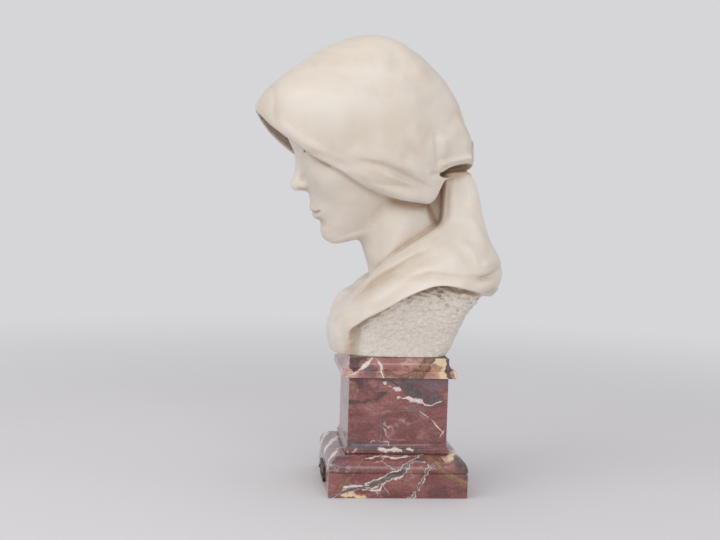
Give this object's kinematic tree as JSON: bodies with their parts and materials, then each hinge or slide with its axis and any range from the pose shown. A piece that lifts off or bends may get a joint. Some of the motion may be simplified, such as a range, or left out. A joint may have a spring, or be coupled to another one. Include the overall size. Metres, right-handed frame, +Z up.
{
  "type": "marble bust",
  "caption": "Small marble bust of a woman in a headscarf and shawl, bolted to a moulded square socle of veined red marble.",
  "frame": {"origin": "middle of the plinth's underside, on the axis of the tie rod", "axes": "+Z up through the bust, -Y the way the bust faces, +X her left"},
  "size_m": [0.146, 0.2233, 0.3978],
  "materials": {
    "white_marble": "carved, satin rubbed",
    "red_marble": "polished",
    "mastic": "matt set mastic",
    "steel": "dull, lightly oiled",
    "lead": "grey cast lead",
    "leather": "brown hide",
    "bronze": "dark patinated bronze",
    "brass": "worn brass",
    "wood": "plain softwood"
  },
  "bodies": {
    "root": {"bust": "white_marble", "socle_cap": "red_marble", "socle_die": "red_marble", "socle_plinth": "red_marble", "bed_plinth_die": "mastic", "bed_die_cap": "mastic", "bed_cap_bust": "mastic", "tie_rod": "steel", "rod_anchor": "lead", "soft_washer": "leather", "steel_washer": "steel", "tie_nut": "steel", "plaque": "bronze", "plaque_pins": "brass", "pin_plugs": "wood"}
  },
  "joints": []
}
